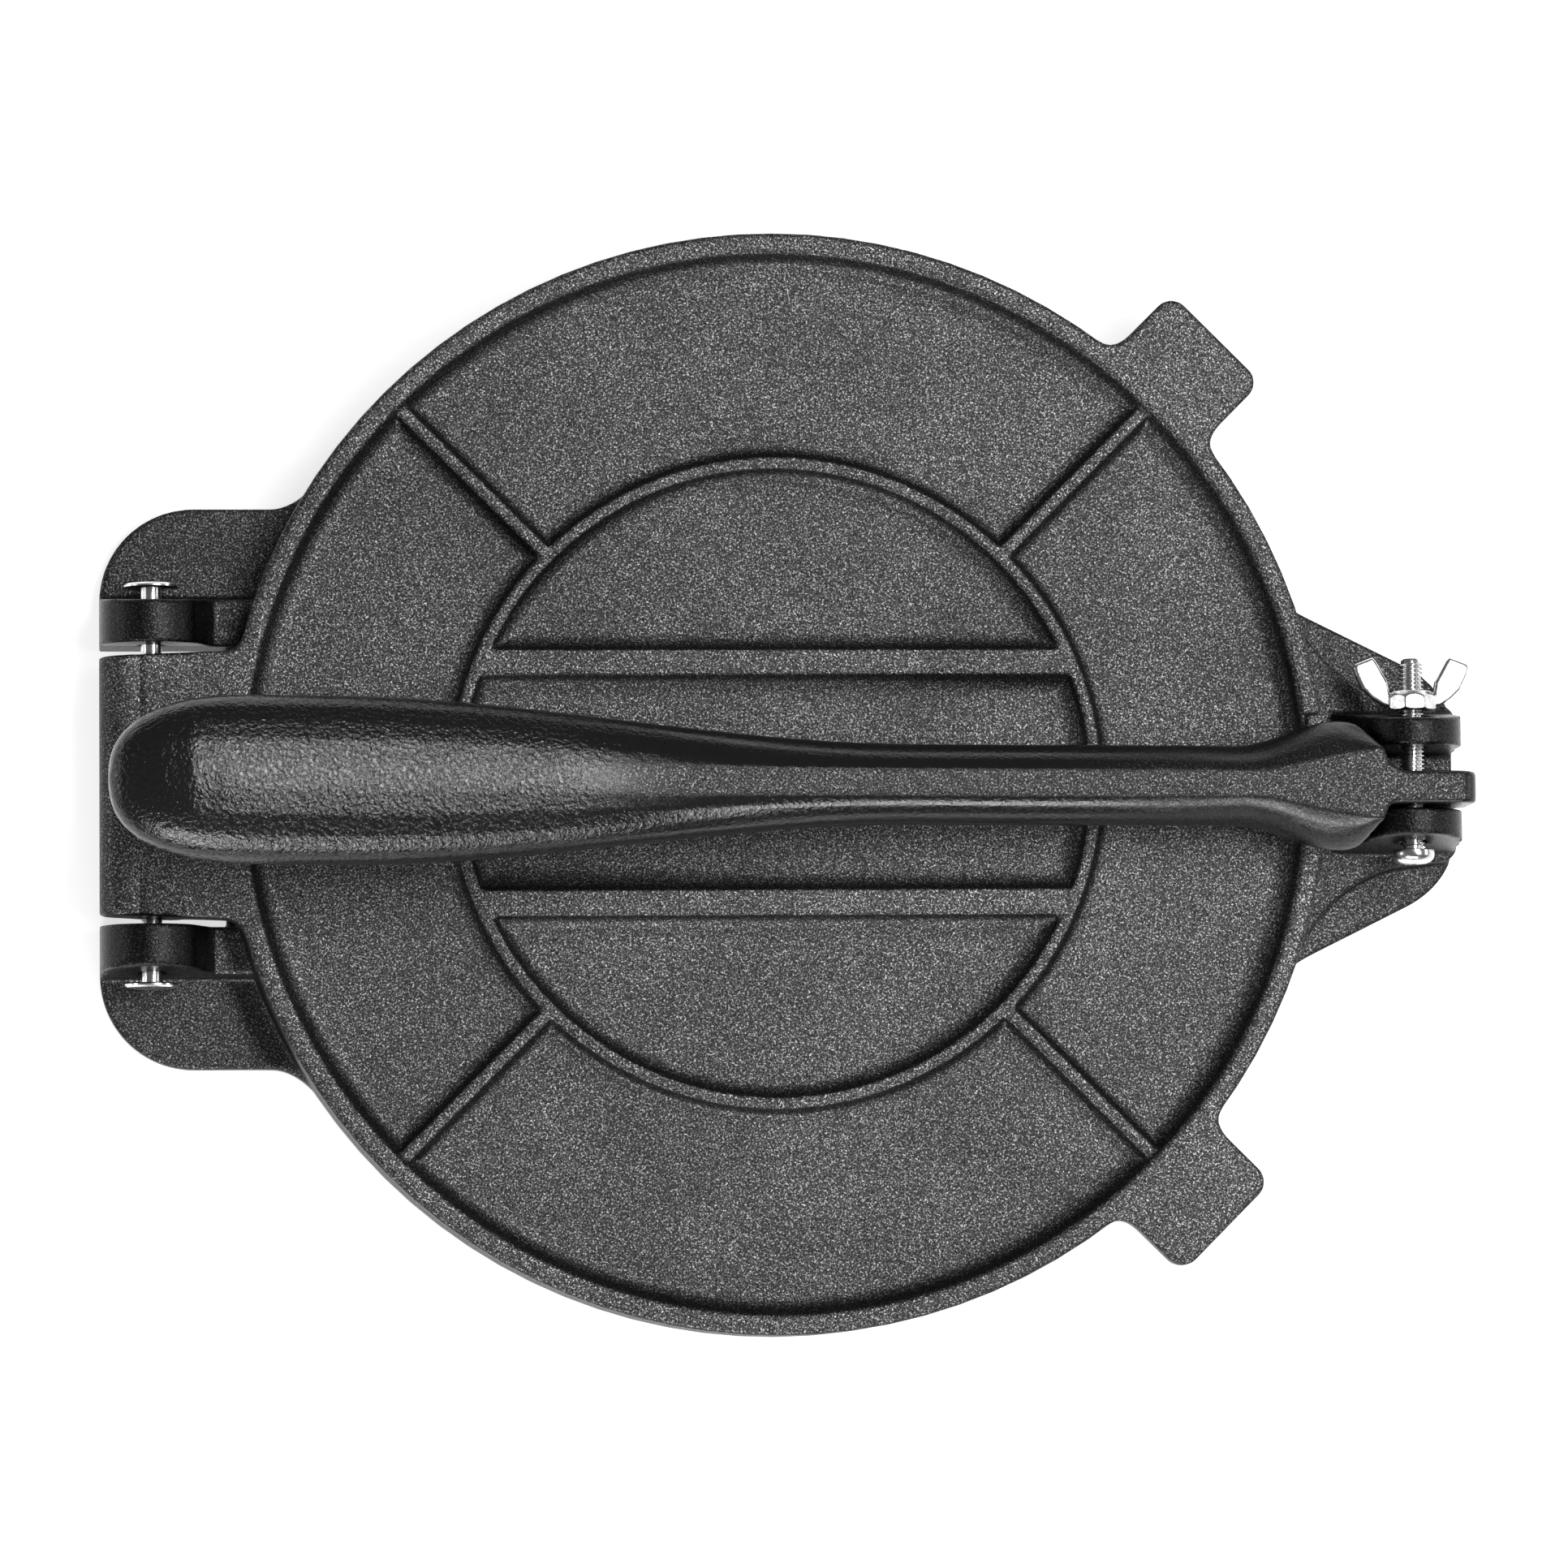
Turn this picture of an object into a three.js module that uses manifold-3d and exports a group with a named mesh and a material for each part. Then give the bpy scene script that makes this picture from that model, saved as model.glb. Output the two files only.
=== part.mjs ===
// Cast iron tortilla press for ten inch tortillas.
// Two round ribbed plates are hinged at the back on two headed pins.
// A lever on a bolt with a wing nut at the front folds over the top plate and presses it down.
// Millimetres. +Z is up, +X points to the lever's bolt and -X to the hinge.
// The origin is on the table, under the middle of the whole press.
import * as THREE from "three";
import { mergeVertices } from "three/addons/utils/BufferGeometryUtils.js";
import Module from "manifold-3d";

const wasm = await Module();
wasm.setup();

// Plates
const plateRadius = 132;
const baseHeight = 15; // table to pressing face
const pressGap = 0.3; // between the closed pressing faces
const webThickness = 4.5; // of both plates
const rimRise = 5.2; // top plate's rim above its web
const rimWidth = 5.3;
const ribRise = 3.7; // ring, spokes and bars above the web
const ringRadius = 76.7; // middle of the ring's width
const ringWidth = 2.9;
const spokeWidth = 3;
const barWidth = 6.2;
const barOffset = 28.7; // middle of each bar from the press's middle line
const footRun = 2.8; // how far a rib's foot curves out
const ringInnerFootRun = 4.6;
const barFootRun = 5.2;
const rimFootRun = 4.8;
const edgeRound = 0.8;
const rootDepth = 12; // how far lugs and flanges reach into the plates' edges

// Lifting tabs of the top plate
const tabLength = 19.2; // past the plate's edge
const tabWidth = 30.6;
const tabSpread = 4.2; // how much wider its root is on each side
const tabThickness = 6.2;
const tabCorner = 4.5;
const tabFillet = 6;

// Press pad on the rim, under the lever's foot
const padLength = 4.5;
const padWidth = 31.2;
const padRise = 1.5;

// Hinge
const pinBehind = 16.8; // plate's edge to the pin
const pinRise = 1; // above the pressing face
const pinRadius = 2.5;
const pinHeadRadius = 6.6;
const pinHeadThickness = 1.5;
const pinStandOut = 2.2; // shank seen between the head and the ear's foot
const pinDepth = 12.5; // shank inside the lug
const noseReach = 12.4; // pin to the rearmost edge of lug and ears
const lugWidth = 61.4;
const lugShift = -0.4; // it has some play between the ears
const lugSpread = 1.2; // how much wider the lug gets on each side towards the plate
const lugKnuckle = 8; // below the pin
const lugNeck = 12; // pin to where the underside meets the plate's
const lugNoseRound = 5.8;
const lugFillet = 4;
const lugGrooveDepth = 0.5;
const lugGrooveWidth = 1.7;
const lugGrooveBack = 2.9; // pin to the middle of the groove
const earGap = 2.2; // between lug and ear
const earThickness = 10;
const earDraft = 2; // how much the outer wall spreads at the foot
const earBack = 10.4; // pin to the back of the ear's crown
const earSlope = 4.3; // run of the ear's front wall
const earRibDrop = 2; // rib's top below the pressing face
const hingeSlotDepth = 1; // how far the open slot between the ears cuts into the disc

// Base
const skirtWall = 4.4;
const underRibHeight = 5.5; // under the web
const underRibWidth = 4;
const flangeThickness = 7;
const rearFlangeWidth = 134.6;
const rearFlangeCorner = 22.5;
const rearFlangeFillet = 5;
const frontFlangeRoot = 43.9; // half width where it meets the disc
const frontFlangeFillet = 3;
const frontFlangeBend = 29.3; // half width where its edge starts to turn in
const frontFlangeBendBack = 11.2; // front end to there
const frontFlangeCorner = 25.6; // half width of the corner that its edge rounds off
const frontFlangeCornerBack = 3.9; // front end to there
const frontLip = 0.9; // of the flange in front of the ears
const plateauRoot = 43; // half width where the plateau leaves the disc
const plateauWaist = 20.4; // half width beside the front ears
const plateauWaistBack = 2.5; // bolt to the waist
const plateauEndWidth = 38;
const plateauCorner = 4;
const plateauDrop = 0.9; // its top below the pressing face

// Lever's pivot
const pivotAhead = 20.5; // plate's edge to the bolt
const pivotRise = 12; // above the pressing face
const boltRadius = 2.95;
const boltHeadRadius = 5.1;
const boltHeadHeight = 3.6;
const boltHeadEdge = 1.2; // upright wall of the head
const boltEndOut = 7.825; // past the nut
const boltSlack = 0.9; // it has slid out on the head's side
const boltChamfer = 0.7;
const recessWidth = 1.1;
const recessSpan = 5.4;
const recessDepth = 1.8;
const frontEarRadius = 11.8;
const frontEarTop = 6.2; // thickness at the crown
const frontEarDraft = 3.2; // spread of the outer wall at the foot
const frontEarLead = 5.6; // run of the ear's wall towards the plate
const seatClearance = 0.3;
const holeClearance = 0.35;

// Lever
const leverShift = -2; // it has slid along the bolt
const tongueWidth = 7.8;
const tonguePlay = 7.4; // between the front ears
const tongueRadius = 13.8;
const tongueShift = -0.8; // from the lever's middle line
const tongueFlat = 8.6; // how far its flat top runs past the bolt
const tongueEndRise = 9.5; // above the bolt, where its top has curved down to the end
const tongueClearance = 2.4; // tongue's edge to the slot's end
const tongueSweep = 19; // bolt to the slot's floor, for the tongue's upper corner as the lever opens
const gripPast = 27; // grip's end past the plate's far edge
const gripWidth = 40;
const gripThickness = 17.5;
const gripEndLength = 35.5;
const gripFullLength = 53.5; // grip's end to where its full width ends
const gripRise = 32; // grip's top above the foot's top
const domeLength = 96.5; // grip's end to where its top stops being domed
const domeBlend = 60;
const shankWidth = 19.4;
const shankThickness = 12;
const shankStart = 122;
const ridgeWidth = 6; // flat along the top of the shank
const footWidth = 31.3;
const footTop = 14.6; // above the bolt
const footLength = 34; // bolt to the end of its flat underside
const footBlend = 62; // bolt to where the shank's thickness begins
const footTaper = 43; // bolt to where the shank's width begins
const fanStart = 36; // bolt to where the flat top starts to widen
const fanWidth = 17.6; // of the flat top at the shoulder
const footEnd = 19; // bolt to the foot's widest place
const shoulder = 8.8; // bolt to the foot's hindmost corner
const shoulderWidth = 18.4;
const neck = 4.6; // bolt to where the foot has narrowed to the tongue
const reliefGap = 3; // between the front ears' crowns and the foot

// Wing nut
const nutBaseRadius = 5.5;
const nutWaistRadius = 6.9;
const nutTopRadius = 5.1;
const nutWaistRise = 2.1;
const nutHeight = 4.8;
const wingThickness = 2.4;
const wingReach = 14.1; // half of the span
const wingHeight = 13.1;

// Shares of the sizes above
const tabRootShare = 0.7; // of the rim's width
const knuckleShares = [0.9, 0.45]; // where the neck runs into the knuckle
const noseShare = 0.6; // of the knuckle's depth
const seamShare = 0.42; // height of the lever's widest line in its thickness
const capTopShare = 0.25; // thickness left over at the grip's very end
const outerShares = [1, 0.94, 0.82, 0.62, 0.34, 0];
const ridgeShares = [0.5, 0];
const underShares = [0.985, 0.9, 0.72, 0.4, 0];
const capShares = [0.9985, 0.985, 0.955, 0.9, 0.8, 0.65, 0.45, 0.22];
const flatShare = 0.97; // the most of the width that can be flat on top
const pinHeadShares = [[0.93, 0], [1, 0.35], [0.96, 0.8], [0.7, 1], [0, 1]];
const nutRootShares = [0.6, 0.55]; // of the top radius and the height, inside the hub
const wingShares = [
  [0.37, 0.36], [0.38, 0.54], [0.61, 0.94], [0.66, 1],
  [0.96, 0.87], [1, 0.8], [0.95, 0.65], [0.84, 0.4], [0.68, 0.23], [0.49, 0.1], [0.4, 0.07],
]; // of the reach and the height
const skirtFootShares = [[1, 0], [0.3, 0.3], [0, 1]]; // of the foot's run

// Powers of the lever's curves
const risePower = 1.7;
const gripEndPower = 2.5;
const capPower = 2.2;
const footEndPower = 1.9;
const domePower = 2.1;
const roofPower = 1.35;
const underPower = 3.4;

// Facets, counts and angles
const plateFacets = 96;
const pinFacets = 28;
const curveSteps = 10;
const flareSteps = 4;
const roundSteps = 2;
const spokeCount = 4;
const spokeTurn = 45;
const tabTurn = 45;
const quarter = Math.PI / 2;
const eighth = Math.PI / 4;
const overrun = 20; // how far a cutting body runs past what it cuts
const sink = 0.9; // how deep a joined body sits in its neighbour
const weld = 1e-4;

// Heights and places that follow
const topUnder = baseHeight + pressGap;
const topWeb = topUnder + webThickness;
const rimTop = topWeb + rimRise;
const rimInner = plateRadius - rimWidth;
const padTop = rimTop + padRise;
const baseUnder = baseHeight - webThickness;
const plateauTop = baseHeight - plateauDrop;
const skirtInner = plateRadius - skirtWall;
const skirtMiddle = plateRadius - skirtWall / 2;
const rootInside = plateRadius - rootDepth;
const pinX = -plateRadius - pinBehind;
const pinZ = baseHeight + pinRise;
const pivotX = plateRadius + pivotAhead;
const pivotZ = baseHeight + pivotRise;
const noseX = pinX - noseReach;
const lugHalf = lugWidth / 2;
const earInner = lugHalf + lugSpread / 2 + earGap;
const earOuter = earInner + earThickness;
const earCrown = pinZ + noseReach;
const frontEnd = pivotX + frontEarRadius + frontLip;
const slotStart = pivotX - tongueRadius - tongueClearance;
const slotFloor = pivotZ - tongueSweep;
const frontEarInner = (tongueWidth + tonguePlay) / 2;
const frontEarOuter = frontEarInner + frontEarTop;
const frontEarCrown = pivotZ + frontEarRadius;
const frontEarFoot = plateauTop - sink;
const seatDrop = pivotZ - padTop - seatClearance; // foot's underside below the bolt
const tongueHalf = tongueWidth / 2;
const leverLength = pivotAhead + 2 * plateRadius + gripPast;
const capStart = leverLength - gripEndLength;
const gripStart = leverLength - gripFullLength;
const domeStart = leverLength - domeLength;

// Materials
const castIron = new THREE.MeshStandardMaterial({ color: 0x2c2c2d, roughness: 0.62, metalness: 0.35 });
const leverIron = new THREE.MeshStandardMaterial({ color: 0x222223, roughness: 0.45, metalness: 0.35 });
const brightZinc = new THREE.MeshStandardMaterial({ color: 0xc9cbcc, roughness: 0.22, metalness: 1 });

// A geometry with merged corners as a solid that can be joined and cut.
function solid(geometry) {
  const bare = geometry.index ? geometry.toNonIndexed() : geometry.clone();
  bare.deleteAttribute("normal");
  bare.deleteAttribute("uv");
  const merged = mergeVertices(bare, weld);
  const corners = merged.index.array;
  const kept = [];
  for (let i = 0; i < corners.length; i += 3) {
    const [a, b, c] = [corners[i], corners[i + 1], corners[i + 2]];
    if (a !== b && b !== c && c !== a) kept.push(a, b, c);
  }
  const vertProperties = new Float32Array(merged.attributes.position.array);
  const triVerts = new Uint32Array(kept);
  return new wasm.Manifold(new wasm.Mesh({ numProp: 3, vertProperties, triVerts }));
}

function geometryOf(body) {
  const mesh = body.getMesh();
  const geometry = new THREE.BufferGeometry();
  geometry.setAttribute("position", new THREE.BufferAttribute(mesh.vertProperties, 3));
  geometry.setIndex(new THREE.BufferAttribute(mesh.triVerts, 1));
  geometry.computeVertexNormals();
  return geometry;
}

const join = (...bodies) => bodies.reduce((whole, body) => whole.add(body));
const cut = (body, ...tools) => tools.reduce((rest, tool) => rest.subtract(tool), body);
const mirrored = (body) => body.mirror([0, 1, 0]);
const withMirror = (body) => join(body, mirrored(body));
const yawed = (body, degrees) => body.rotate([0, 0, degrees]);

// A closed profile of [radius, height] points turned about Z.
function turned(profile, facets) {
  const points = profile.map(([r, z]) => new THREE.Vector2(r, z));
  return solid(new THREE.LatheGeometry(points, facets).rotateX(quarter));
}

// The same about Y, with heights along +Y.
function turnedSideways(profile, facets) {
  const points = profile.map(([r, y]) => new THREE.Vector2(r, y));
  return solid(new THREE.LatheGeometry(points, facets));
}

function extruded(shape, depth) {
  return new THREE.ExtrudeGeometry(shape, { depth, bevelEnabled: false, curveSegments: curveSteps });
}

// A plan outline (x, y) between two heights.
function upright(shape, low, high) {
  return solid(extruded(shape, high - low).translate(0, 0, low));
}

// A side outline (x, z) between two places along Y.
function sideways(shape, low, high) {
  return solid(extruded(shape, high - low).rotateX(quarter).translate(0, high, 0));
}

// An end outline (y, z) between two places along X.
function lengthways(shape, low, high) {
  const turn = new THREE.Matrix4().makeBasis(
    new THREE.Vector3(0, 1, 0),
    new THREE.Vector3(0, 0, 1),
    new THREE.Vector3(1, 0, 0),
  );
  return solid(extruded(shape, high - low).applyMatrix4(turn).translate(low, 0, 0));
}

function drum(radius, low, high) {
  return turned([[0, low], [radius, low], [radius, high], [0, high]], plateFacets);
}

// A round rod along Y through (x, z).
function rod(radius, x, z, low, high, facets = pinFacets) {
  const body = turnedSideways([[0, low], [radius, low], [radius, high], [0, high]], facets);
  return body.translate([x, 0, z]);
}

function box(x0, x1, y0, y1, z0, z1) {
  const geometry = new THREE.BoxGeometry(x1 - x0, y1 - y0, z1 - z0);
  return solid(geometry.translate((x0 + x1) / 2, (y0 + y1) / 2, (z0 + z1) / 2));
}

function outline(points) {
  return new THREE.Shape(points.map(([x, y]) => new THREE.Vector2(x, y)));
}

// Points of a concave foot, from a rib's top (0, rise) out to the web (run, 0).
function flare(run, rise) {
  const points = [];
  for (let i = 0; i <= flareSteps; i += 1) {
    const turn = (quarter * i) / flareSteps;
    points.push([run * (1 - Math.cos(turn)), rise * (1 - Math.sin(turn))]);
  }
  return points;
}

// A convex edge of a turned profile, round (r, z).
function round(r, z, radius, from, to) {
  const points = [];
  for (let i = 0; i <= roundSteps; i += 1) {
    const turn = from + ((to - from) * i) / roundSteps;
    points.push([r + radius * Math.cos(turn), z + radius * Math.sin(turn)]);
  }
  return points;
}

// Section of a straight rib on a web, with both feet flared.
function ribOutline(width, web, rise, run = footRun) {
  const right = flare(run, rise).map(([y, z]) => [width / 2 + y, web + z]);
  const left = right.map(([y, z]) => [-y, z]);
  const reach = width / 2 + run;
  return outline([[-reach, web - sink], [reach, web - sink], ...right.reverse(), ...left]);
}

// A rib on every spoke, from the ring to the plate's wall.
function spokes(rib, reach) {
  const core = drum(ringRadius, -overrun, rimTop + overrun);
  const spoke = cut(rib.intersect(reach), core);
  const all = [];
  for (let i = 0; i < spokeCount; i += 1) all.push(yawed(spoke, spokeTurn + (i * 360) / spokeCount));
  return join(...all);
}

// What is trimmed off an ear's outer side, so that it spreads towards its foot.
function draftOutline(top, crown, spread, foot) {
  const bottom = top + spread;
  return outline([
    [top, crown + overrun],
    [top, crown],
    [bottom, foot],
    [bottom, foot - overrun],
    [bottom + overrun, foot - overrun],
    [bottom + overrun, crown + overrun],
  ]);
}

// Top plate

function topDisc() {
  const ringOuter = ringRadius + ringWidth / 2;
  const ringInner = ringRadius - ringWidth / 2;
  const rimFoot = flare(rimFootRun, rimRise - edgeRound);
  const outerFoot = flare(footRun, ribRise);
  const innerFoot = flare(ringInnerFootRun, ribRise);
  return turned([
    [0, topUnder],
    ...round(plateRadius - edgeRound, topUnder + edgeRound, edgeRound, -quarter, 0),
    ...round(plateRadius - edgeRound, rimTop - edgeRound, edgeRound, 0, quarter),
    [rimInner + edgeRound, rimTop],
    ...rimFoot.map(([run, z]) => [rimInner - run, topWeb + z]),
    ...outerFoot.map(([run, z]) => [ringOuter + run, topWeb + z]).reverse(),
    ...innerFoot.map(([run, z]) => [ringInner - run, topWeb + z]),
    [0, topWeb],
  ], plateFacets);
}

function topSpokes() {
  const rib = lengthways(ribOutline(spokeWidth, topWeb, ribRise), 0, plateRadius);
  return spokes(rib, drum(plateRadius - rimWidth / 2, topUnder, rimTop));
}

function topBars() {
  const bar = lengthways(ribOutline(barWidth, topWeb, ribRise, barFootRun), -plateRadius, plateRadius);
  return withMirror(bar.translate([0, barOffset, 0])).intersect(drum(ringRadius, topUnder, rimTop));
}

// A lifting tab pointing along +X, with hollow corners into the rim.
function tab() {
  const half = tabWidth / 2;
  const rootHalf = half + tabSpread;
  const rootX = Math.sqrt(plateRadius ** 2 - rootHalf ** 2);
  const bendX = Math.sqrt(plateRadius ** 2 - half ** 2);
  const inner = plateRadius - rimWidth * tabRootShare;
  const cornerX = plateRadius + tabLength - tabCorner;
  const shape = new THREE.Shape();
  shape.moveTo(inner, -rootHalf);
  shape.lineTo(rootX, -rootHalf);
  shape.quadraticCurveTo(bendX, -half, bendX + tabFillet, -half);
  shape.lineTo(cornerX, -half);
  shape.absarc(cornerX, -half + tabCorner, tabCorner, -quarter, 0);
  shape.absarc(cornerX, half - tabCorner, tabCorner, 0, quarter);
  shape.lineTo(bendX + tabFillet, half);
  shape.quadraticCurveTo(bendX, half, rootX, rootHalf);
  shape.lineTo(inner, rootHalf);
  return upright(shape, rimTop - tabThickness, rimTop);
}

function lugPlan() {
  const rootHalf = lugHalf + lugSpread;
  const wideHalf = rootHalf + lugFillet;
  const rootX = -Math.sqrt(plateRadius ** 2 - rootHalf ** 2);
  const wideX = -Math.sqrt(plateRadius ** 2 - wideHalf ** 2);
  const shape = new THREE.Shape();
  shape.moveTo(noseX - sink, -lugHalf);
  shape.lineTo(rootX - lugFillet, -rootHalf);
  shape.quadraticCurveTo(rootX, -rootHalf, wideX, -wideHalf);
  shape.lineTo(-rootInside, -wideHalf);
  shape.lineTo(-rootInside, wideHalf);
  shape.lineTo(wideX, wideHalf);
  shape.quadraticCurveTo(rootX, rootHalf, rootX - lugFillet, rootHalf);
  shape.lineTo(noseX - sink, lugHalf);
  return upright(shape, 0, rimTop + overrun);
}

function lugSide() {
  const grooveX = pinX - lugGrooveBack;
  const grooveHalf = lugGrooveWidth / 2;
  const noseZ = pinZ - lugKnuckle * noseShare;
  const roundX = noseX + lugNoseRound;
  const roundZ = rimTop - lugNoseRound;
  const [neckX, neckZ] = knuckleShares.map((share) => share * lugKnuckle);
  const shape = new THREE.Shape();
  shape.moveTo(pinX + lugNeck, topUnder);
  shape.quadraticCurveTo(pinX + lugKnuckle, topUnder, pinX + neckX, pinZ - neckZ);
  shape.absarc(pinX, pinZ, lugKnuckle, -Math.asin(neckZ / lugKnuckle), -quarter - eighth, true);
  shape.quadraticCurveTo(noseX, noseZ, noseX, pinZ);
  shape.lineTo(noseX, roundZ);
  shape.absarc(roundX, roundZ, lugNoseRound, Math.PI, quarter, true);
  shape.lineTo(grooveX - grooveHalf, rimTop);
  shape.quadraticCurveTo(grooveX, rimTop - 2 * lugGrooveDepth, grooveX + grooveHalf, rimTop);
  shape.lineTo(-rootInside, rimTop);
  shape.lineTo(-rootInside, topUnder);
  return sideways(shape, -lugHalf - overrun, lugHalf + overrun);
}

function lug() {
  const inside = drum(plateRadius - rimWidth / 2, 0, rimTop + overrun);
  return cut(lugPlan().intersect(lugSide()).translate([0, lugShift, 0]), inside);
}

function pad() {
  const start = rimInner + edgeRound;
  return box(start, start + padLength - edgeRound, -padWidth / 2, padWidth / 2, rimTop - sink, padTop);
}

function topPlate() {
  const tabs = [yawed(tab(), tabTurn), yawed(tab(), -tabTurn)];
  const whole = join(topDisc(), topSpokes(), topBars(), ...tabs, lug(), pad());
  const hole = rod(pinRadius + holeClearance, pinX, pinZ, lugHalf - pinDepth, lugHalf + overrun);
  return cut(whole, hole, mirrored(hole));
}

// Base plate

function baseDisc() {
  const ringOuter = ringRadius + underRibWidth / 2;
  const ringInner = ringRadius - underRibWidth / 2;
  const foot = flare(footRun, underRibHeight);
  return turned([
    [0, baseUnder],
    ...foot.map(([run, z]) => [ringInner - run, baseUnder - z]).reverse(),
    ...foot.map(([run, z]) => [ringOuter + run, baseUnder - z]),
    ...skirtFootShares.map(([run, drop]) => [skirtInner - footRun * run, baseUnder - footRun * drop]),
    [skirtInner, 0],
    ...round(plateRadius - edgeRound, edgeRound, edgeRound, -quarter, 0),
    ...round(plateRadius - edgeRound, baseHeight - edgeRound, edgeRound, 0, quarter),
    [0, baseHeight],
  ], plateFacets);
}

function baseSpokes() {
  const rib = lengthways(ribOutline(underRibWidth, 0, underRibHeight), 0, plateRadius);
  const hung = rib.mirror([0, 0, 1]).translate([0, 0, baseUnder]);
  return spokes(hung, drum(skirtMiddle, 0, baseHeight - sink));
}

function rearFlange() {
  const half = rearFlangeWidth / 2;
  const wideHalf = half + rearFlangeFillet;
  const wideX = -Math.sqrt(plateRadius ** 2 - wideHalf ** 2);
  const cornerX = noseX + rearFlangeCorner;
  const cornerY = half - rearFlangeCorner;
  const inside = wideX + rearFlangeCorner;
  const shape = new THREE.Shape();
  shape.moveTo(noseX, -cornerY);
  shape.absarc(cornerX, -cornerY, rearFlangeCorner, Math.PI, Math.PI + quarter);
  shape.lineTo(wideX - 2 * rearFlangeFillet, -half);
  shape.quadraticCurveTo(wideX - rearFlangeFillet, -half, wideX, -wideHalf);
  shape.lineTo(inside, -wideHalf);
  shape.lineTo(inside, wideHalf);
  shape.lineTo(wideX, wideHalf);
  shape.quadraticCurveTo(wideX - rearFlangeFillet, half, wideX - 2 * rearFlangeFillet, half);
  shape.lineTo(cornerX, half);
  shape.absarc(cornerX, cornerY, rearFlangeCorner, quarter, Math.PI);
  return upright(shape, 0, flangeThickness);
}

// One rear ear with the low rib that ties it to the disc.
function rearEar() {
  const backTurn = Math.acos(earBack / noseReach);
  const ribStart = pinX + earBack + earSlope;
  const ribTop = baseHeight - earRibDrop;
  const shape = new THREE.Shape();
  shape.moveTo(noseX, 0);
  shape.lineTo(noseX, pinZ);
  shape.absarc(pinX, pinZ, noseReach, Math.PI, backTurn, true);
  shape.lineTo(ribStart, ribTop);
  shape.lineTo(-rootInside, ribTop);
  shape.lineTo(-rootInside, 0);
  const block = sideways(shape, earInner, earOuter + overrun);
  const draft = draftOutline(earOuter, earCrown, earDraft, flangeThickness);
  return cut(block, lengthways(draft, noseX - overrun, overrun - rootInside));
}

function rearMount() {
  const slotEnd = hingeSlotDepth - plateRadius;
  const slot = box(noseX - overrun, slotEnd, -earInner, earInner, -overrun, earCrown + overrun);
  const inside = drum(skirtMiddle, -overrun, earCrown + overrun);
  const hole = rod(pinRadius + holeClearance, pinX, pinZ, 0, earOuter + overrun);
  const ears = cut(withMirror(rearEar()), hole, mirrored(hole));
  return cut(join(cut(rearFlange(), slot), ears), inside);
}

function frontFlange() {
  const wideHalf = frontFlangeRoot + frontFlangeFillet;
  const wideX = Math.sqrt(plateRadius ** 2 - wideHalf ** 2);
  const root = Math.sqrt(plateRadius ** 2 - frontFlangeRoot ** 2);
  const bendX = frontEnd - frontFlangeBendBack;
  const slope = (frontFlangeRoot - frontFlangeBend) / (bendX - root);
  const filletX = root + 2 * frontFlangeFillet;
  const filletHalf = frontFlangeRoot - slope * (filletX - root);
  const cornerX = frontEnd - frontFlangeCornerBack;
  const endHalf = plateauEndWidth / 2;
  const endX = frontEnd - edgeRound;
  const shape = new THREE.Shape();
  shape.moveTo(rootInside, -wideHalf);
  shape.lineTo(wideX, -wideHalf);
  shape.quadraticCurveTo(root, -frontFlangeRoot, filletX, -filletHalf);
  shape.lineTo(bendX, -frontFlangeBend);
  shape.quadraticCurveTo(cornerX, -frontFlangeCorner, endX, -endHalf);
  shape.lineTo(frontEnd, plateauCorner - endHalf);
  shape.lineTo(frontEnd, endHalf - plateauCorner);
  shape.lineTo(endX, endHalf);
  shape.quadraticCurveTo(cornerX, frontFlangeCorner, bendX, frontFlangeBend);
  shape.lineTo(filletX, filletHalf);
  shape.quadraticCurveTo(root, frontFlangeRoot, wideX, wideHalf);
  shape.lineTo(rootInside, wideHalf);
  return upright(shape, 0, flangeThickness);
}

// Raised neck that carries the front ears, flaring out of the disc's edge.
function plateau() {
  const root = Math.sqrt(plateRadius ** 2 - plateauRoot ** 2);
  const endHalf = plateauEndWidth / 2;
  const bendX = plateRadius + plateauCorner / 2;
  const bendHalf = plateauWaist + plateauCorner;
  const waistX = pivotX - plateauWaistBack;
  const cornerX = frontEnd - plateauCorner;
  const cornerY = endHalf - plateauCorner;
  const shape = new THREE.Shape();
  shape.moveTo(rootInside, -plateauRoot);
  shape.lineTo(root, -plateauRoot);
  shape.quadraticCurveTo(bendX, -bendHalf, waistX, -plateauWaist);
  shape.lineTo(cornerX, -endHalf);
  shape.absarc(cornerX, -cornerY, plateauCorner, -quarter, 0);
  shape.absarc(cornerX, cornerY, plateauCorner, 0, quarter);
  shape.lineTo(waistX, plateauWaist);
  shape.quadraticCurveTo(bendX, bendHalf, root, plateauRoot);
  shape.lineTo(rootInside, plateauRoot);
  return upright(shape, 0, plateauTop);
}

function frontEar() {
  const start = pivotX - frontEarRadius;
  const end = pivotX + frontEarRadius;
  const shape = new THREE.Shape();
  shape.moveTo(start - frontEarLead, frontEarFoot);
  shape.lineTo(start - frontEarLead, plateauTop);
  shape.lineTo(start, pivotZ);
  shape.absarc(pivotX, pivotZ, frontEarRadius, Math.PI, 0, true);
  shape.lineTo(end, frontEarFoot);
  const block = sideways(shape, frontEarInner, frontEarOuter + overrun);
  const draft = draftOutline(frontEarOuter, frontEarCrown, frontEarDraft, frontEarFoot);
  return cut(block, lengthways(draft, start - overrun, end + overrun));
}

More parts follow.
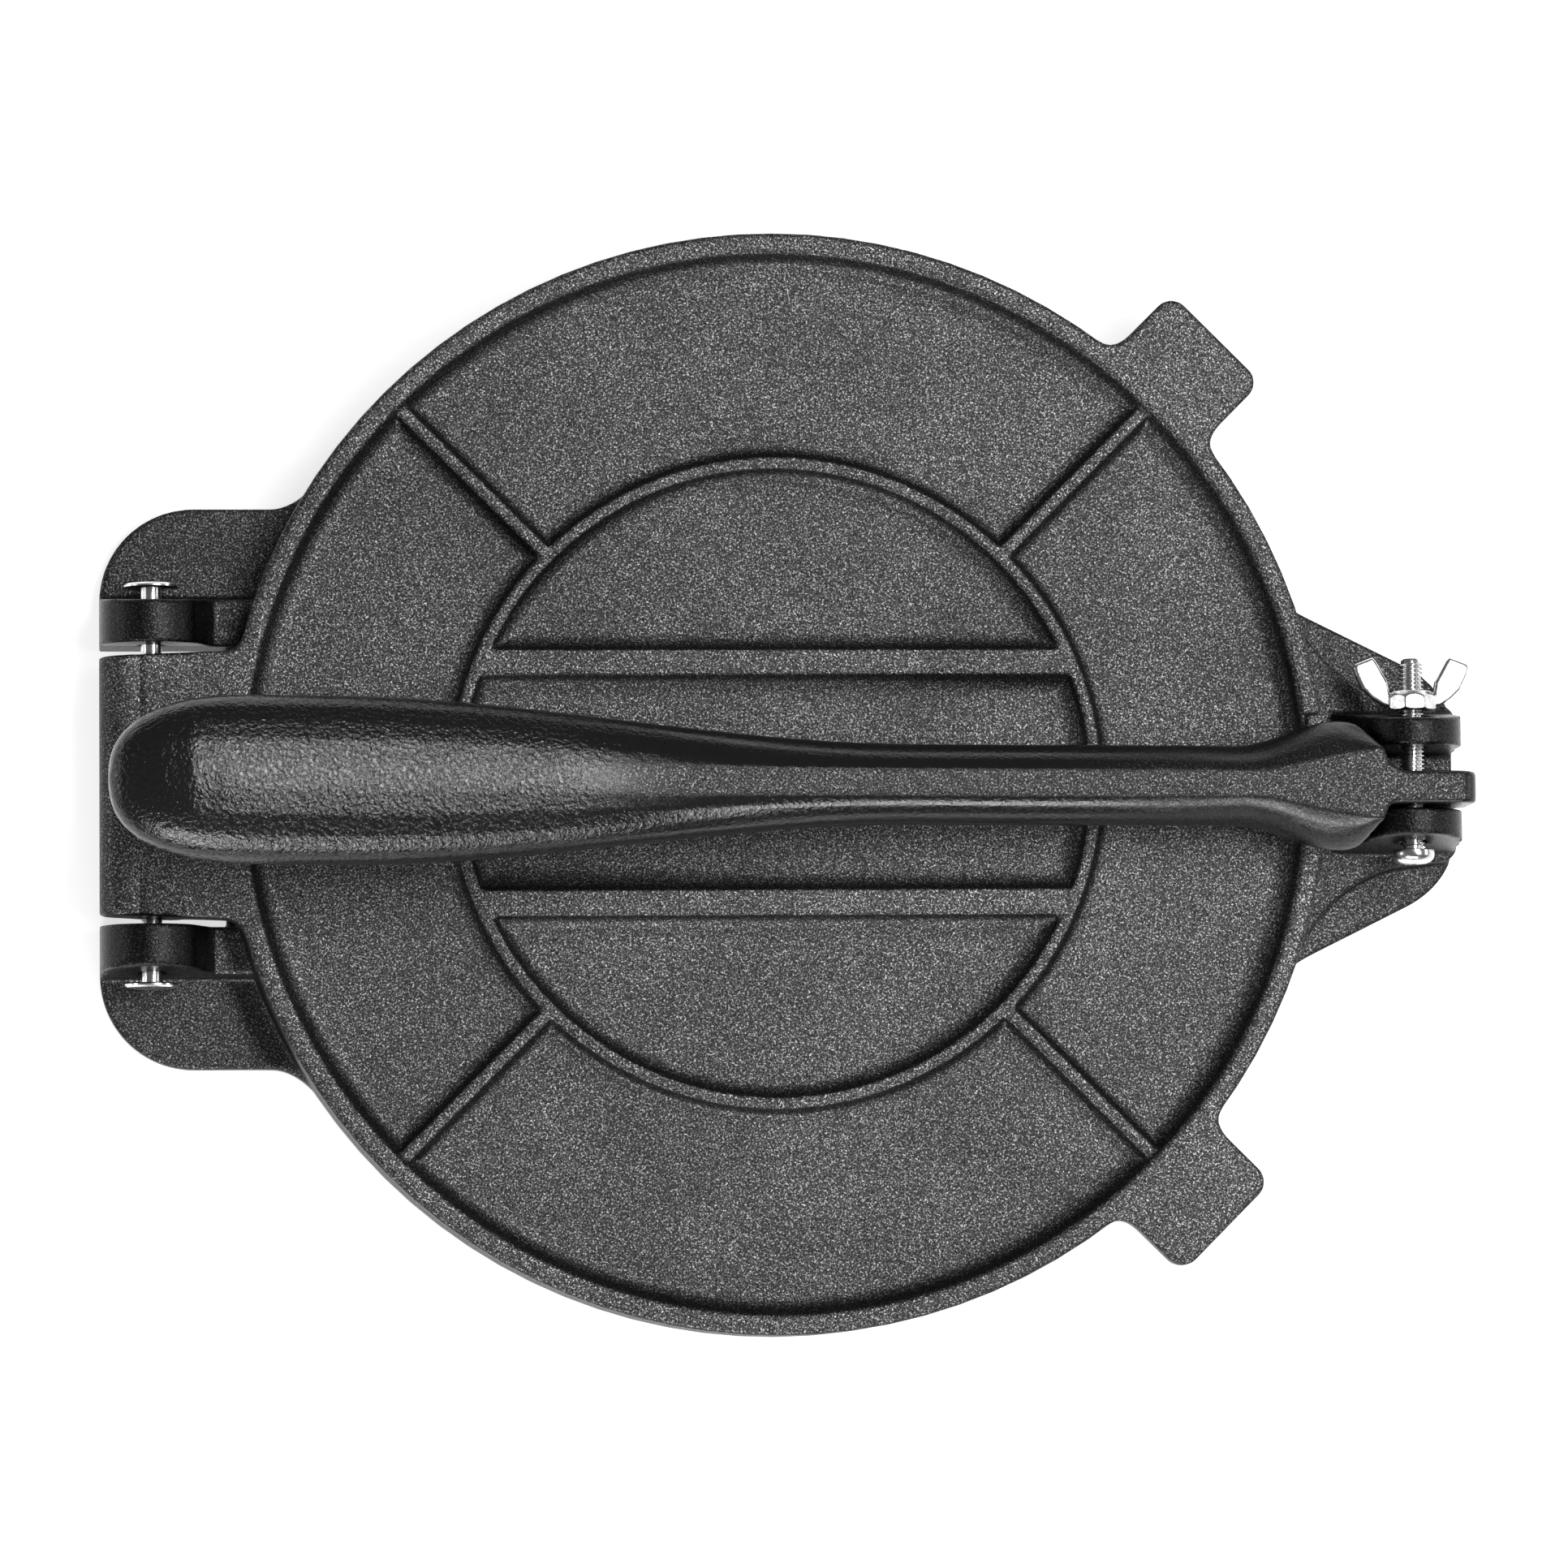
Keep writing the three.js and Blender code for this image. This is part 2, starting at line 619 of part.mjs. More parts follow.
function frontMount() {
  const high = frontEarCrown + overrun;
  const wide = frontEarOuter + overrun;
  const body = cut(join(frontFlange(), plateau(), withMirror(frontEar())), drum(skirtMiddle, -overrun, high));
  const slot = box(slotStart, frontEnd + overrun, -frontEarInner, frontEarInner, slotFloor, high);
  const hole = rod(boltRadius + holeClearance, pivotX, pivotZ, -wide, wide);
  return cut(body, slot, hole);
}

function basePlate() {
  return join(baseDisc(), baseSpokes(), rearMount(), frontMount());
}

// Lever. Its shape is worked out at a distance from the bolt, with heights above the bolt.

const limited = (share) => Math.min(1, Math.max(0, share));
const eased = (share) => limited(share) ** 2 * (3 - 2 * limited(share));
const between = (share, from, to) => from + (to - from) * share;
const bulge = (share, power) => (1 - limited(share) ** power) ** (1 / power);

function leverHalfWidth(far) {
  const grip = gripWidth / 2;
  const shank = shankWidth / 2;
  const foot = footWidth / 2;
  const corner = shoulderWidth / 2;
  if (far > capStart) return grip * bulge((far - capStart) / gripEndLength, gripEndPower);
  if (far > shankStart) return between(eased((far - shankStart) / (gripStart - shankStart)), shank, grip);
  if (far > footEnd) return between(eased((footTaper - far) / (footTaper - footEnd)), shank, foot);
  const lobe = bulge((footEnd - far) / (footEnd - shoulder), footEndPower);
  if (far > shoulder) return between(lobe, corner, foot);
  return between(bulge((far - neck) / (shoulder - neck), 2), corner, tongueHalf);
}

function leverTop(far) {
  const gripMiddle = leverLength - gripEndLength / 2;
  return footTop + gripRise * limited((far - footEnd) / (gripMiddle - footEnd)) ** risePower;
}

function leverThickness(far) {
  const swell = eased((far - shankStart) / (gripStart - shankStart));
  const bar = between(swell, shankThickness, gripThickness);
  const foot = leverTop(far) + seatDrop;
  return between(eased((far - footLength) / (footBlend - footLength)), foot, bar);
}

// One closed ring of points: over the top from +Y to -Y, then back underneath.
function leverRing(far) {
  const half = leverHalfWidth(far);
  const cap = bulge((far - capStart) / gripEndLength, capPower);
  const thickness = leverThickness(far);
  const seam = leverTop(far) - thickness * (1 - seamShare);
  const above = thickness * (1 - seamShare) * between(cap, capTopShare, 1);
  const below = thickness * seamShare * between(cap, capTopShare, 1);
  const ridge = eased((domeStart - far) / domeBlend);
  const fan = limited((fanStart - far) / (fanStart - shoulder));
  const flat = Math.min(flatShare, between(fan, ridgeWidth, fanWidth) / 2 / half);
  const crown = (share) => {
    const roof = bulge((share - flat) / (1 - flat), roofPower);
    return between(ridge, bulge(share, domePower), roof);
  };
  const sides = [
    ...outerShares.map((share) => between(share, flat, 1)),
    ...ridgeShares.map((share) => flat * share),
  ];
  const right = sides.map((share) => [share, seam + above * crown(share)]);
  const under = underShares.map((share) => [-share, seam - below * bulge(share, underPower)]);
  const across = ([share, z]) => [-share, z];
  const left = right.slice(0, -1).reverse().map(across);
  const back = under.slice(0, -1).reverse().map(across);
  return [...right, ...left, ...under, ...back].map(([share, z]) => new THREE.Vector3(-far, share * half, z));
}

// A closed solid through rings of equal counts of points.
function loft(rings) {
  const count = rings[0].length;
  const positions = rings.flat().flatMap((point) => [point.x, point.y, point.z]);
  const faces = [];
  for (let row = 0; row + 1 < rings.length; row += 1) {
    for (let i = 0; i < count; i += 1) {
      const a = row * count + i;
      const b = row * count + ((i + 1) % count);
      faces.push(a, b, b + count, a, b + count, a + count);
    }
  }
  const close = (row, flipped) => {
    const middle = rings[row].reduce((sum, point) => sum.add(point), new THREE.Vector3());
    middle.divideScalar(count);
    const hub = positions.length / 3;
    positions.push(middle.x, middle.y, middle.z);
    for (let i = 0; i < count; i += 1) {
      const a = row * count + i;
      const b = row * count + ((i + 1) % count);
      if (flipped) faces.push(hub, b, a);
      else faces.push(hub, a, b);
    }
  };
  close(0, true);
  close(rings.length - 1, false);
  const geometry = new THREE.BufferGeometry();
  geometry.setAttribute("position", new THREE.Float32BufferAttribute(positions, 3));
  geometry.setIndex(faces);
  return solid(geometry);
}

// Distances of the lever's rings, close together where its shape changes fast.
function leverStations() {
  const stations = capShares.map((share) => capStart + gripEndLength * share);
  const spread = (from, to, count) => {
    for (let i = 0; i < count; i += 1) stations.push(between(i / count, from, to));
  };
  spread(capStart, gripStart, 2);
  spread(gripStart, shankStart, 13);
  spread(shankStart, footBlend, 4);
  spread(footBlend, footEnd, 14);
  spread(footEnd, shoulder, 6);
  spread(shoulder, neck, 4);
  stations.push(neck);
  return stations;
}

// Round under the bolt, with its top level with the foot's.
function tongueSide() {
  const shape = new THREE.Shape();
  shape.moveTo(-tongueRadius, 0);
  shape.absarc(0, 0, tongueRadius, Math.PI, 2 * Math.PI);
  shape.lineTo(tongueRadius, tongueEndRise);
  shape.quadraticCurveTo(tongueRadius, footTop, tongueFlat, footTop);
  shape.lineTo(-shoulder - sink, footTop);
  shape.lineTo(-shoulder - sink, 0);
  return shape;
}

function leverHandle() {
  const bar = loft(leverStations().map(leverRing));
  const tongue = sideways(tongueSide(), -tongueHalf, tongueHalf).translate([0, tongueShift, 0]);
  const reliefRadius = frontEarRadius + reliefGap;
  const left = rod(reliefRadius, 0, 0, tongueShift + tongueHalf, overrun, 2 * pinFacets);
  const right = rod(reliefRadius, 0, 0, -overrun, tongueShift - tongueHalf, 2 * pinFacets);
  const hole = rod(boltRadius + holeClearance, 0, 0, -overrun, overrun);
  return cut(join(cut(bar, left, right), tongue), hole);
}

// Fasteners, made along +Y

// The front ears' outer wall leans, so head and nut seat where their lower edges reach it.
function wallAt(z) {
  return frontEarOuter + (frontEarDraft * (frontEarCrown - z)) / (frontEarCrown - frontEarFoot);
}

const headSeat = wallAt(pivotZ - boltHeadRadius) + seatClearance + boltSlack;
const nutSeat = wallAt(pivotZ - nutBaseRadius) + seatClearance;
const boltLength = headSeat + nutSeat + nutHeight + boltEndOut;

function hingePin() {
  const length = pinDepth + earGap + earThickness + earDraft + pinStandOut - seatClearance;
  const chamfer = holeClearance;
  return turnedSideways([
    [0, 0],
    [pinRadius - chamfer, 0],
    [pinRadius, chamfer],
    [pinRadius, length],
    ...pinHeadShares.map(([r, y]) => [pinHeadRadius * r, length + pinHeadThickness * y]),
  ], pinFacets);
}

function pivotBolt() {
  const dome = round(0, 0, 1, -quarter, 0).map(([r, y]) => [
    boltHeadRadius * r,
    (boltHeadHeight - boltHeadEdge) * y - boltHeadEdge,
  ]);
  const body = turnedSideways([
    ...dome,
    [boltHeadRadius, 0],
    [boltRadius, 0],
    [boltRadius, boltLength - boltChamfer],
    [boltRadius - boltChamfer, boltLength],
    [0, boltLength],
  ], pinFacets);
  const slot = box(
    -recessSpan / 2, recessSpan / 2,
    -boltHeadHeight - overrun, recessDepth - boltHeadHeight,
    -recessWidth / 2, recessWidth / 2,
  );
  return cut(body, slot, slot.rotate([0, 90, 0]));
}

function wingNut() {
  const hub = turnedSideways([
    [0, 0],
    [nutBaseRadius, 0],
    [nutWaistRadius, nutWaistRise],
    [nutTopRadius, nutHeight],
    [0, nutHeight],
  ], pinFacets);
  const [rootX, rootY] = nutRootShares;
  const edge = wingShares.map(([x, y]) => [wingReach * x, wingHeight * y]);
  const shape = outline([[nutTopRadius * rootX, nutHeight * rootY], ...edge]);
  const wing = upright(shape, -wingThickness / 2, wingThickness / 2);
  const bore = rod(boltRadius + holeClearance, 0, 0, -overrun, overrun);
  return cut(join(hub, wing, wing.mirror([1, 0, 0])), bore);
}

// Assembly

function named(name, body, material, place = [0, 0, 0]) {
  const mesh = new THREE.Mesh(geometryOf(body), material);
  mesh.name = name;
  mesh.position.set(...place);
  return mesh;
}

const pinInner = lugHalf - pinDepth + seatClearance;
const rightPin = named("hinge_pin_right", hingePin(), brightZinc, [pinX, -pinInner, pinZ]);
rightPin.rotation.z = Math.PI;

const press = new THREE.Group();
press.add(named("base_plate", basePlate(), castIron));
press.add(named("top_plate", topPlate(), castIron));
press.add(named("lever_handle", leverHandle(), leverIron, [pivotX, leverShift, pivotZ]));
press.add(named("pivot_bolt", pivotBolt(), brightZinc, [pivotX, -headSeat, pivotZ]));
press.add(named("wing_nut", wingNut(), brightZinc, [pivotX, nutSeat, pivotZ]));
press.add(named("hinge_pin_left", hingePin(), brightZinc, [pinX, pinInner, pinZ]));
press.add(rightPin);
press.position.x = -(noseX + pivotX + wingReach) / 2;

export default press;
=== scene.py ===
# Round cast iron tortilla press, closed, seen from above.
import math

import bpy
from mathutils import Matrix, Vector


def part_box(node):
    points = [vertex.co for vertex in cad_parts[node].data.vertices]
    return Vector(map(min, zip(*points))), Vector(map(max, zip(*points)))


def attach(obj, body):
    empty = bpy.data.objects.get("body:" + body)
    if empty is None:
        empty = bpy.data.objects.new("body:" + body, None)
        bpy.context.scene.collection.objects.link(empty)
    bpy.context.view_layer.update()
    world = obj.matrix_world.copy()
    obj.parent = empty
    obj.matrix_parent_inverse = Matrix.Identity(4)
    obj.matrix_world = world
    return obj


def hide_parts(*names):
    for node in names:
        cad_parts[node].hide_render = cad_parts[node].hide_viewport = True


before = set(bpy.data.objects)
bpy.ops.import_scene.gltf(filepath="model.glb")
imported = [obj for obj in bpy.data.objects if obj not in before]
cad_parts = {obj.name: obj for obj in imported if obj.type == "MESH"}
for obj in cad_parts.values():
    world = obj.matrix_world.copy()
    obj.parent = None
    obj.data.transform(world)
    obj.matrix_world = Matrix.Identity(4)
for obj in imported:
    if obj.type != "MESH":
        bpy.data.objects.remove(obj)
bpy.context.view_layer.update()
mm = 0.001


# Small helpers for working as by hand

def deselectAll():
    if bpy.context.object and bpy.context.object.mode != "OBJECT":
        bpy.ops.object.mode_set(mode="OBJECT")
    bpy.ops.object.select_all(action="DESELECT")


def pick(*objects):
    deselectAll()
    for thing in objects:
        thing.select_set(True)
    bpy.context.view_layer.objects.active = objects[0]


def named(name):
    made = bpy.context.object
    made.name = made.data.name = name
    return made


def editing(thing, kind="FACE"):
    pick(thing)
    bpy.ops.object.mode_set(mode="EDIT")
    bpy.ops.mesh.select_mode(type=kind)


def objectMode():
    bpy.ops.object.mode_set(mode="OBJECT")


def modify(thing, kind, **values):
    pick(thing)
    extra = thing.modifiers.new(kind.title(), kind)
    for key, value in values.items():
        setattr(extra, key, value)
    bpy.ops.object.modifier_apply(modifier=extra.name)


def settle(thing):
    # place, turn and size go into the mesh, so the object stays at the origin
    pick(thing)
    bpy.ops.object.transform_apply(location=True, rotation=True, scale=True)
    return thing


def tidyMesh(thing):
    editing(thing, "VERT")
    bpy.ops.mesh.select_all(action="SELECT")
    bpy.ops.mesh.remove_doubles(threshold=0.002 * mm)
    bpy.ops.mesh.normals_make_consistent(inside=False)
    objectMode()


def softShade(thing, degrees):
    pick(thing)
    bpy.ops.object.shade_smooth_by_angle(angle=math.radians(degrees))


def chooseFaces(thing, wanted):
    # opens the piece with just the faces picked whose middle and normal pass the test
    deselectAll()
    for group in (thing.data.vertices, thing.data.edges, thing.data.polygons):
        for item in group:
            item.select = False
    for face in thing.data.polygons:
        face.select = wanted(face.center, face.normal)
    editing(thing)


def drawOut(steps):
    # the picked end face is drawn along Z through [radius, height] steps
    for (radius, height), (nextRadius, nextHeight) in zip(steps, steps[1:]):
        bpy.ops.mesh.extrude_region_move(
            TRANSFORM_OT_translate={"value": (0, 0, (nextHeight - height) * mm), "orient_type": "GLOBAL"})
        wider = nextRadius / radius
        bpy.ops.transform.resize(value=(wider, wider, 1), center_override=(0, 0, 0))


def layAlongY(thing, start, side=1):
    # what was made upwards from the origin is laid along +Y or -Y from its start
    pick(thing)
    thing.rotation_euler = (-side * math.pi / 2, 0, 0)
    thing.location = [value * mm for value in start]
    return settle(thing)


def joined(name, first, *others):
    pick(first, *others)
    bpy.ops.object.join()
    return named(name)


def crossMiddle(low, high):
    # the middle of a box across and up, in mm
    return (low[0] + high[0]) / 2 / mm, (low[2] + high[2]) / 2 / mm


def dress(piece, body, node, material):
    piece.data.materials.clear()
    piece.data.materials.append(material)
    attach(piece, body)
    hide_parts(node)
    print(piece.name, len(piece.data.polygons), "faces")


# Material helpers

patternTurn = (0.6, 0.5, 0.4)  # radians about X, Y and Z


def newMaterial(name):
    material = bpy.data.materials.new(name)
    material.use_nodes = True
    return material, material.node_tree, material.node_tree.nodes["Principled BSDF"]


def addNode(tree, kind, settings=None, **inputs):
    made = tree.nodes.new(kind)
    for key, value in (settings or {}).items():
        setattr(made, key, value)
    for key, value in inputs.items():
        socket = made.inputs[int(key[1:])] if key[0] == "i" and key[1:].isdigit() else made.inputs[key]
        if isinstance(value, bpy.types.NodeSocket):
            tree.links.new(value, socket)
        else:
            socket.default_value = value
    return made


def objectPlace(tree):
    return addNode(tree, "ShaderNodeTexCoord").outputs["Object"]


def turnedPlace(tree, place):
    # turned, so that no flat face lies along the layers of a noise
    return addNode(tree, "ShaderNodeMapping", Vector=place, Rotation=patternTurn).outputs["Vector"]


def noise(tree, place, size, detail=2.0, roughness=0.5, distortion=0.0):
    made = addNode(tree, "ShaderNodeTexNoise", Vector=place, Scale=1 / (size * mm), Detail=detail,
                   Roughness=roughness, Distortion=distortion)
    return made.outputs["Fac"]


def mapRange(tree, value, low, high, start, end, smooth=False):
    settings = {"interpolation_type": "SMOOTHSTEP"} if smooth else {}
    made = addNode(tree, "ShaderNodeMapRange", settings, Value=value)
    for key, number in (("From Min", low), ("From Max", high), ("To Min", start), ("To Max", end)):
        made.inputs[key].default_value = number
    return made.outputs["Result"]


def maths(tree, operation, first, second):
    return addNode(tree, "ShaderNodeMath", {"operation": operation}, i0=first, i1=second).outputs[0]


def mixColour(tree, factor, first, second):
    made = addNode(tree, "ShaderNodeMix", {"data_type": "RGBA"}, i0=factor, i6=first, i7=second)
    return made.outputs[2]


def mixValue(tree, factor, first, second):
    return addNode(tree, "ShaderNodeMix", i0=factor, i2=first, i3=second).outputs[0]


def bumped(tree, height, strength, distance, normal=None):
    made = addNode(tree, "ShaderNodeBump", Height=height, Strength=strength, Distance=distance)
    if normal:
        tree.links.new(normal, made.inputs["Normal"])
    return made.outputs["Normal"]


def grey(level):
    return (level, level, level, 1)


def share(tree, vector, axis):
    return addNode(tree, "ShaderNodeSeparateXYZ", Vector=vector).outputs[axis]


def facingUp(tree):
    # 1 on a level top and 0 on an upright wall of the unturned piece
    return share(tree, addNode(tree, "ShaderNodeTexCoord").outputs["Normal"], "Z")


def dimmed(tree, colour, level):
    return addNode(tree, "ShaderNodeVectorMath", {"operation": "SCALE"}, i0=colour, Scale=level).outputs[0]


def lookingRays(tree):
    # rays straight from the camera, and rays that metal mirrors or glass lets through
    path = addNode(tree, "ShaderNodeLightPath").outputs
    return path["Is Camera Ray"], maths(tree, "MAXIMUM", path["Is Glossy Ray"], path["Is Transmission Ray"])


# Camera, floor and light
print("Camera, floor and light")

camera = {
    "eye": (-0.1576, -0.1571, 2.0127),
    "aim": (-0.00109, -0.00064, 0.025),
    "lens": 192.5,
    "roll": 0.13,  # degrees
    "sensor": 36, "clip": (0.01, 50),
}

floorPlan = {"size": 12, "drop": 0.02, "tone": 0.78, "glow": 0.66}  # size in m, drop in mm

light = {
    "overheadPlace": (0.9, 0.32, 2.4), "overheadSize": (2.2, 0.5), "overheadPower": 43,
    "frontPlace": (-0.25, -1.9, 1.1), "frontSize": (1.9, 0.6), "frontPower": 36,
    "endPlaces": [(1.9, 0.1, 0.75), (-1.9, 0.1, 0.55)], "endSize": (1.3, 0.5), "endPower": 5,
    "room": 0.06, "roomInMetal": 0.12,
}


def placeCamera():
    deselectAll()
    bpy.ops.object.camera_add(location=camera["eye"])
    made = named("photoCamera")
    forward = (Vector(camera["aim"]) - Vector(camera["eye"])).normalized()
    level = (Vector((1, 0, 0)) - forward * forward.x).normalized()
    upright = level.cross(forward)
    roll = math.radians(camera["roll"])
    right = level * math.cos(roll) - upright * math.sin(roll)
    turn = Matrix((right, right.cross(forward), -forward)).transposed()
    made.matrix_world = Matrix.Translation(camera["eye"]) @ turn.to_4x4()
    made.data.lens = camera["lens"]
    made.data.sensor_width = camera["sensor"]
    made.data.clip_start, made.data.clip_end = camera["clip"]
    bpy.context.scene.camera = made


def softbox(name, where, size, power):
    deselectAll()
    bpy.ops.object.light_add(type="AREA", location=where)
    made = named(name)
    made.data.shape = "RECTANGLE"
    made.data.size, made.data.size_y = size
    made.data.energy = power
    made.rotation_mode = "QUATERNION"
    made.rotation_quaternion = Vector(where).to_track_quat("Z", "Y")
    made.visible_camera = False


def setRoom():
    world = bpy.data.worlds.new("room")
    bpy.context.scene.world = world
    world.use_nodes = True
    tree = world.node_tree
    back = tree.nodes["Background"]
    back.inputs["Color"].default_value = (1, 1, 1, 1)
    direct, mirrored = lookingRays(tree)
    room = mapRange(tree, mirrored, 0, 1, light["room"], light["roomInMetal"])
    tree.links.new(mixValue(tree, direct, room, 1.0), back.inputs["Strength"])


def setFloor():
    deselectAll()
    bpy.ops.mesh.primitive_plane_add(size=floorPlan["size"], location=(0, 0, -floorPlan["drop"] * mm))
    floor = settle(named("floor"))
    material, tree, shader = newMaterial("paleFloor")
    tree.nodes.remove(shader)
    paint = addNode(tree, "ShaderNodeBsdfDiffuse", Color=grey(floorPlan["tone"]))
    seen = maths(tree, "MAXIMUM", *lookingRays(tree))
    strength = mapRange(tree, seen, 0, 1, 0, floorPlan["glow"])
    glow = addNode(tree, "ShaderNodeEmission", Color=grey(1), Strength=strength)
    both = addNode(tree, "ShaderNodeAddShader", i0=paint.outputs[0], i1=glow.outputs[0])
    tree.links.new(both.outputs[0], tree.nodes["Material Output"].inputs["Surface"])
    floor.data.materials.append(material)


placeCamera()
setRoom()
setFloor()
softbox("overheadLight", light["overheadPlace"], light["overheadSize"], light["overheadPower"])
softbox("frontLight", light["frontPlace"], light["frontSize"], light["frontPower"])
for side, place in zip(("rightLight", "leftLight"), light["endPlaces"]):
    softbox(side, place, light["endSize"], light["endPower"])
bpy.context.scene.view_settings.view_transform = "Standard"


# Finishes
print("Finishes")

sandIron = {
    "pit": 0.003, "grain": 0.078, "glint": 0.72,
    "steep": 0.6, "flat": 0.992, "wallShadeTone": 0.34,  # the upright share of the normal over which walls and fillet feet get painted shade
    "grainDetail": (3.0, 0.7),  # detail and roughness of the noise
    "grainSize": 0.42, "crumbSize": 0.6, "lumpSize": 3.0,
    "grainDepth": 0.105, "lumpDepth": 0.12, "grainBump": 0.9, "crumbBump": 0.5, "lumpBump": 0.5,
    "grainBreak": (0.38, 0.6), "glintBreak": (0.56, 0.7), "roughBreak": (0.35, 0.65),  # noise levels
    "rough": (0.32, 0.56), "metal": 0.6,
    "wornSize": 26, "wornBreak": (0.3, 0.7), "wornTone": (0.86, 1.14),
    "ribFloor": 20.2, "ribTop": 24.6, "ribTone": (0.96, 1.12),  # painted sheen and shade: the top plate is lighter up on its ribs and darker down in the recesses
    "earFloor": 14.6, "earTop": 17,  # the base's ears get darker and smoother between these heights
    "earTone": 0.26, "earRough": 0.5, "baseTone": 0.7,
}

satinIron = {
    "dark": 0.006, "tone": 0.012,
    "crinkleDetail": (2.5, 0.6, 0.4),  # detail, roughness and distortion of the noise
    "crinkleSize": 1.0, "crinkleDepth": 0.26,
    "crinkleBump": (0.25, 0.9),  # off the grip and on it
    "toneBreak": (0.35, 0.65), "roughBreak": (0.42, 0.56),  # levels of the crinkle's noise
    "topStart": 0.92, "topFull": 0.985,  # the upright share of the normal where the sandy flats set in
    "gripStart": -22, "gripFull": -60,  # where the crinkle sets in along X
    "footStart": 58, "footFull": 96, "footSand": 0.4,  # where and how much the grain reaches down the sides
    "rough": (0.06, 0.23), "specular": 0.55, "sandShare": 0.62,
}

zincPlate = {
    "tone": 0.86, "dull": 0.62, "rough": (0.16, 0.3),
    "hazeSize": 2.2, "hazeDetail": 3.0, "hazeBreak": (0.35, 0.65),
    "markSize": 0.5, "markBump": 0.25, "markDepth": 0.03,
}


def sandGrain(tree, place, look):
    # colour, roughness and normal of iron straight from a sand mould, with painted shade on its steep walls
    turned = turnedPlace(tree, place)
    grains = noise(tree, turned, look["grainSize"], *look["grainDetail"])
    crumbs = addNode(tree, "ShaderNodeTexVoronoi", {"feature": "F1"}, Vector=turned,
                     Scale=1 / (look["crumbSize"] * mm)).outputs["Distance"]
    lumps = noise(tree, turned, look["lumpSize"])
    onGrain = mapRange(tree, grains, *look["grainBreak"], 0, 1)
    onGlint = mapRange(tree, grains, *look["glintBreak"], 0, 1)
    tone = mixColour(tree, onGrain, grey(look["pit"]), grey(look["grain"]))
    tone = mixColour(tree, onGlint, tone, grey(look["glint"]))
    smoothest, roughest = look["rough"]
    rough = mapRange(tree, grains, *look["roughBreak"], roughest, smoothest)
    normal = bumped(tree, lumps, look["lumpBump"], look["lumpDepth"] * mm)
    normal = bumped(tree, grains, look["grainBump"], look["grainDepth"] * mm, normal)
    normal = bumped(tree, crumbs, look["crumbBump"], look["grainDepth"] * mm, normal)
    # painted shade: steep walls and fillet feet are darkened by how far their normal leans from upright
    paintedWallShade = mapRange(tree, facingUp(tree), look["steep"], look["flat"], look["wallShadeTone"], 1, True)
    return dimmed(tree, tone, paintedWallShade), rough, normal


def sandCastIron(name, ribs=False, ears=False):
    look = sandIron
    material, tree, shader = newMaterial(name)
    place = objectPlace(tree)
    tone, rough, normal = sandGrain(tree, place, look)
    wearAndPaintedLight = mapRange(tree, noise(tree, place, look["wornSize"]), *look["wornBreak"], *look["wornTone"])
    height = share(tree, place, "Z")
    if ears:
        earFloor, earTop = look["earFloor"] * mm, look["earTop"] * mm
        smoother = mapRange(tree, height, earFloor, earTop, 1, look["earTone"], True)
        wearAndPaintedLight = maths(tree, "MULTIPLY", maths(tree, "MULTIPLY", wearAndPaintedLight, smoother), look["baseTone"])
        rough = maths(tree, "MULTIPLY", rough, mapRange(tree, smoother, 0, 1, look["earRough"], 1))
    if ribs:
        # painted sheen on the rib tops and painted shade on the recess floors, set by height
        paintedRibLight = mapRange(tree, height, look["ribFloor"] * mm, look["ribTop"] * mm, *look["ribTone"])
        wearAndPaintedLight = maths(tree, "MULTIPLY", wearAndPaintedLight, paintedRibLight)
    tree.links.new(dimmed(tree, tone, wearAndPaintedLight), shader.inputs["Base Color"])
    tree.links.new(rough, shader.inputs["Roughness"])
    tree.links.new(normal, shader.inputs["Normal"])
    shader.inputs["Metallic"].default_value = look["metal"]
    return material


def satinCoatedIron(name):
    # crinkled on the grip, smooth on the sides, and sandy on the flats along the top
    look = satinIron
    material, tree, shader = newMaterial(name)
    place = objectPlace(tree)
    along = share(tree, place, "X")
    onGrip = mapRange(tree, along, look["gripFull"] * mm, look["gripStart"] * mm, 1, 0, True)
    notGrip = mapRange(tree, onGrip, 0, 1, 1, 0)
    level = mapRange(tree, facingUp(tree), look["topStart"], look["topFull"], 0, 1, True)
    onTop = maths(tree, "MULTIPLY", level, notGrip)
    onFoot = mapRange(tree, along, look["footStart"] * mm, look["footFull"] * mm, 0, look["footSand"], True)
    sandy = maths(tree, "MAXIMUM", onTop, onFoot)

    crinkle = noise(tree, turnedPlace(tree, place), look["crinkleSize"], *look["crinkleDetail"])
    onCrinkle = mapRange(tree, crinkle, *look["toneBreak"], 0, 1)
    coat = mixColour(tree, onCrinkle, grey(look["dark"]), grey(look["tone"]))
    smoothest, roughest = look["rough"]
    coatRough = mapRange(tree, crinkle, *look["roughBreak"], roughest, smoothest)
    # the sand's colour brings its painted shade on steep walls along with it
    sandToneWithShade, sandRough, sandNormal = sandGrain(tree, place, sandIron)
    sandToneWithShade = dimmed(tree, sandToneWithShade, look["sandShare"])
    crinkleBump = mapRange(tree, onGrip, 0, 1, *look["crinkleBump"])
    coatNormal = bumped(tree, crinkle, crinkleBump, look["crinkleDepth"] * mm)
    normal = addNode(tree, "ShaderNodeMix", {"data_type": "VECTOR"}, i0=sandy, i4=coatNormal, i5=sandNormal)
    tree.links.new(mixColour(tree, sandy, coat, sandToneWithShade), shader.inputs["Base Color"])
    tree.links.new(mixValue(tree, sandy, coatRough, sandRough), shader.inputs["Roughness"])
    tree.links.new(mixValue(tree, sandy, 0.0, sandIron["metal"]), shader.inputs["Metallic"])
    tree.links.new(normal.outputs[1], shader.inputs["Normal"])
    shader.inputs["Specular IOR Level"].default_value = look["specular"]
    return material


